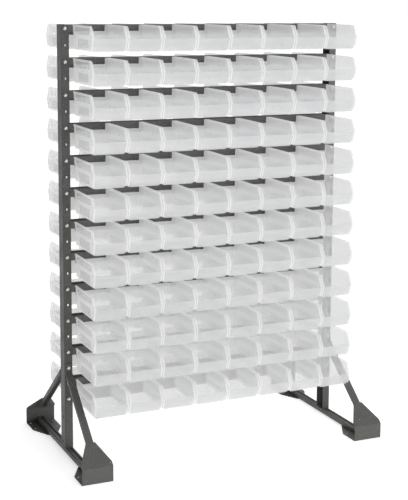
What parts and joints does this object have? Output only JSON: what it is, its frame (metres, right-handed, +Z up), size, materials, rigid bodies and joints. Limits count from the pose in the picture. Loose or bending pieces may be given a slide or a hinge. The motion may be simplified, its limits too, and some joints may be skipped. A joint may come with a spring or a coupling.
{
  "type": "double-sided bin rail rack",
  "caption": "Free-standing double-sided steel rail rack on braced feet, with rows of translucent hopper bins that hook onto the rails and lift off.",
  "frame": {"origin": "on the floor, in the middle of the rack", "axes": "+X to the right of someone who faces the front, +Y to the rear, +Z up"},
  "size_m": [1.0378, 0.6, 1.36],
  "materials": {
    "frame_paint": "satin",
    "rail_paint": "satin",
    "zinc": "satin",
    "bin_plastic": "translucent"
  },
  "bodies": {
    "frame": {"left_upright": "frame_paint", "right_upright": "frame_paint", "left_base_rail": "frame_paint", "right_base_rail": "frame_paint", "left_front_foot": "frame_paint", "left_rear_foot": "frame_paint", "right_front_foot": "frame_paint", "right_rear_foot": "frame_paint", "left_front_brace": "frame_paint", "left_rear_brace": "frame_paint", "right_front_brace": "frame_paint", "right_rear_brace": "frame_paint", "tie_bars": "frame_paint", "rail_bolts": "zinc", "rail_nuts": "zinc", "brace_bolts": "zinc", "brace_nuts": "zinc", "rail_pair_01": "rail_paint", "rail_pair_02": "rail_paint", "rail_pair_03": "rail_paint", "rail_pair_04": "rail_paint", "rail_pair_05": "rail_paint", "rail_pair_06": "rail_paint", "rail_pair_07": "rail_paint", "rail_pair_08": "rail_paint", "rail_pair_09": "rail_paint", "rail_pair_10": "rail_paint", "rail_pair_11": "rail_paint", "rail_pair_12": "rail_paint"},
    "front_top_bin_1_body": {"front_top_bin_1": "bin_plastic"},
    "front_top_bin_2_body": {"front_top_bin_2": "bin_plastic"},
    "front_top_bin_3_body": {"front_top_bin_3": "bin_plastic"},
    "front_top_bin_4_body": {"front_top_bin_4": "bin_plastic"},
    "front_top_bin_5_body": {"front_top_bin_5": "bin_plastic"},
    "front_top_bin_6_body": {"front_top_bin_6": "bin_plastic"},
    "front_top_bin_7_body": {"front_top_bin_7": "bin_plastic"},
    "front_top_bin_8_body": {"front_top_bin_8": "bin_plastic"},
    "front_bins_row_02_body": {"front_bins_row_02": "bin_plastic"},
    "front_bins_row_03_body": {"front_bins_row_03": "bin_plastic"},
    "front_bins_row_04_body": {"front_bins_row_04": "bin_plastic"},
    "front_bins_row_05_body": {"front_bins_row_05": "bin_plastic"},
    "front_bins_row_06_body": {"front_bins_row_06": "bin_plastic"},
    "front_bins_row_07_body": {"front_bins_row_07": "bin_plastic"},
    "front_bins_row_08_body": {"front_bins_row_08": "bin_plastic"},
    "front_bins_row_09_body": {"front_bins_row_09": "bin_plastic"},
    "front_bins_row_10_body": {"front_bins_row_10": "bin_plastic"},
    "front_bins_row_11_body": {"front_bins_row_11": "bin_plastic"},
    "front_bins_row_12_body": {"front_bins_row_12": "bin_plastic"},
    "rear_bins_row_01_body": {"rear_bins_row_01": "bin_plastic"},
    "rear_bins_row_02_body": {"rear_bins_row_02": "bin_plastic"},
    "rear_bins_row_03_body": {"rear_bins_row_03": "bin_plastic"},
    "rear_bins_row_04_body": {"rear_bins_row_04": "bin_plastic"},
    "rear_bins_row_05_body": {"rear_bins_row_05": "bin_plastic"},
    "rear_bins_row_06_body": {"rear_bins_row_06": "bin_plastic"},
    "rear_bins_row_07_body": {"rear_bins_row_07": "bin_plastic"},
    "rear_bins_row_08_body": {"rear_bins_row_08": "bin_plastic"},
    "rear_bins_row_09_body": {"rear_bins_row_09": "bin_plastic"},
    "rear_bins_row_10_body": {"rear_bins_row_10": "bin_plastic"},
    "rear_bins_row_11_body": {"rear_bins_row_11": "bin_plastic"},
    "rear_bins_row_12_body": {"rear_bins_row_12": "bin_plastic"}
  },
  "joints": [
    {"name": "front_top_bin_1_lift", "type": "slide", "parent": "frame", "child": "front_top_bin_1_body", "axis": [0, 0, 1], "range_m": [0, 0.1]},
    {"name": "front_top_bin_2_lift", "type": "slide", "parent": "frame", "child": "front_top_bin_2_body", "axis": [0, 0, 1], "range_m": [0, 0.1]},
    {"name": "front_top_bin_3_lift", "type": "slide", "parent": "frame", "child": "front_top_bin_3_body", "axis": [0, 0, 1], "range_m": [0, 0.1]},
    {"name": "front_top_bin_4_lift", "type": "slide", "parent": "frame", "child": "front_top_bin_4_body", "axis": [0, 0, 1], "range_m": [0, 0.1]},
    {"name": "front_top_bin_5_lift", "type": "slide", "parent": "frame", "child": "front_top_bin_5_body", "axis": [0, 0, 1], "range_m": [0, 0.1]},
    {"name": "front_top_bin_6_lift", "type": "slide", "parent": "frame", "child": "front_top_bin_6_body", "axis": [0, 0, 1], "range_m": [0, 0.1]},
    {"name": "front_top_bin_7_lift", "type": "slide", "parent": "frame", "child": "front_top_bin_7_body", "axis": [0, 0, 1], "range_m": [0, 0.1]},
    {"name": "front_top_bin_8_lift", "type": "slide", "parent": "frame", "child": "front_top_bin_8_body", "axis": [0, 0, 1], "range_m": [0, 0.1]},
    {"name": "front_bins_row_02_lift", "type": "slide", "parent": "frame", "child": "front_bins_row_02_body", "axis": [0, 0, 1], "range_m": [0, 0.02]},
    {"name": "front_bins_row_03_lift", "type": "slide", "parent": "frame", "child": "front_bins_row_03_body", "axis": [0, 0, 1], "range_m": [0, 0.02]},
    {"name": "front_bins_row_04_lift", "type": "slide", "parent": "frame", "child": "front_bins_row_04_body", "axis": [0, 0, 1], "range_m": [0, 0.02]},
    {"name": "front_bins_row_05_lift", "type": "slide", "parent": "frame", "child": "front_bins_row_05_body", "axis": [0, 0, 1], "range_m": [0, 0.02]},
    {"name": "front_bins_row_06_lift", "type": "slide", "parent": "frame", "child": "front_bins_row_06_body", "axis": [0, 0, 1], "range_m": [0, 0.02]},
    {"name": "front_bins_row_07_lift", "type": "slide", "parent": "frame", "child": "front_bins_row_07_body", "axis": [0, 0, 1], "range_m": [0, 0.02]},
    {"name": "front_bins_row_08_lift", "type": "slide", "parent": "frame", "child": "front_bins_row_08_body", "axis": [0, 0, 1], "range_m": [0, 0.02]},
    {"name": "front_bins_row_09_lift", "type": "slide", "parent": "frame", "child": "front_bins_row_09_body", "axis": [0, 0, 1], "range_m": [0, 0.02]},
    {"name": "front_bins_row_10_lift", "type": "slide", "parent": "frame", "child": "front_bins_row_10_body", "axis": [0, 0, 1], "range_m": [0, 0.02]},
    {"name": "front_bins_row_11_lift", "type": "slide", "parent": "frame", "child": "front_bins_row_11_body", "axis": [0, 0, 1], "range_m": [0, 0.02]},
    {"name": "front_bins_row_12_lift", "type": "slide", "parent": "frame", "child": "front_bins_row_12_body", "axis": [0, 0, 1], "range_m": [0, 0.02]},
    {"name": "rear_bins_row_01_lift", "type": "slide", "parent": "frame", "child": "rear_bins_row_01_body", "axis": [0, 0, 1], "range_m": [0, 0.1]},
    {"name": "rear_bins_row_02_lift", "type": "slide", "parent": "frame", "child": "rear_bins_row_02_body", "axis": [0, 0, 1], "range_m": [0, 0.02]},
    {"name": "rear_bins_row_03_lift", "type": "slide", "parent": "frame", "child": "rear_bins_row_03_body", "axis": [0, 0, 1], "range_m": [0, 0.02]},
    {"name": "rear_bins_row_04_lift", "type": "slide", "parent": "frame", "child": "rear_bins_row_04_body", "axis": [0, 0, 1], "range_m": [0, 0.02]},
    {"name": "rear_bins_row_05_lift", "type": "slide", "parent": "frame", "child": "rear_bins_row_05_body", "axis": [0, 0, 1], "range_m": [0, 0.02]},
    {"name": "rear_bins_row_06_lift", "type": "slide", "parent": "frame", "child": "rear_bins_row_06_body", "axis": [0, 0, 1], "range_m": [0, 0.02]},
    {"name": "rear_bins_row_07_lift", "type": "slide", "parent": "frame", "child": "rear_bins_row_07_body", "axis": [0, 0, 1], "range_m": [0, 0.02]},
    {"name": "rear_bins_row_08_lift", "type": "slide", "parent": "frame", "child": "rear_bins_row_08_body", "axis": [0, 0, 1], "range_m": [0, 0.02]},
    {"name": "rear_bins_row_09_lift", "type": "slide", "parent": "frame", "child": "rear_bins_row_09_body", "axis": [0, 0, 1], "range_m": [0, 0.02]},
    {"name": "rear_bins_row_10_lift", "type": "slide", "parent": "frame", "child": "rear_bins_row_10_body", "axis": [0, 0, 1], "range_m": [0, 0.02]},
    {"name": "rear_bins_row_11_lift", "type": "slide", "parent": "frame", "child": "rear_bins_row_11_body", "axis": [0, 0, 1], "range_m": [0, 0.02]},
    {"name": "rear_bins_row_12_lift", "type": "slide", "parent": "frame", "child": "rear_bins_row_12_body", "axis": [0, 0, 1], "range_m": [0, 0.02]}
  ]
}
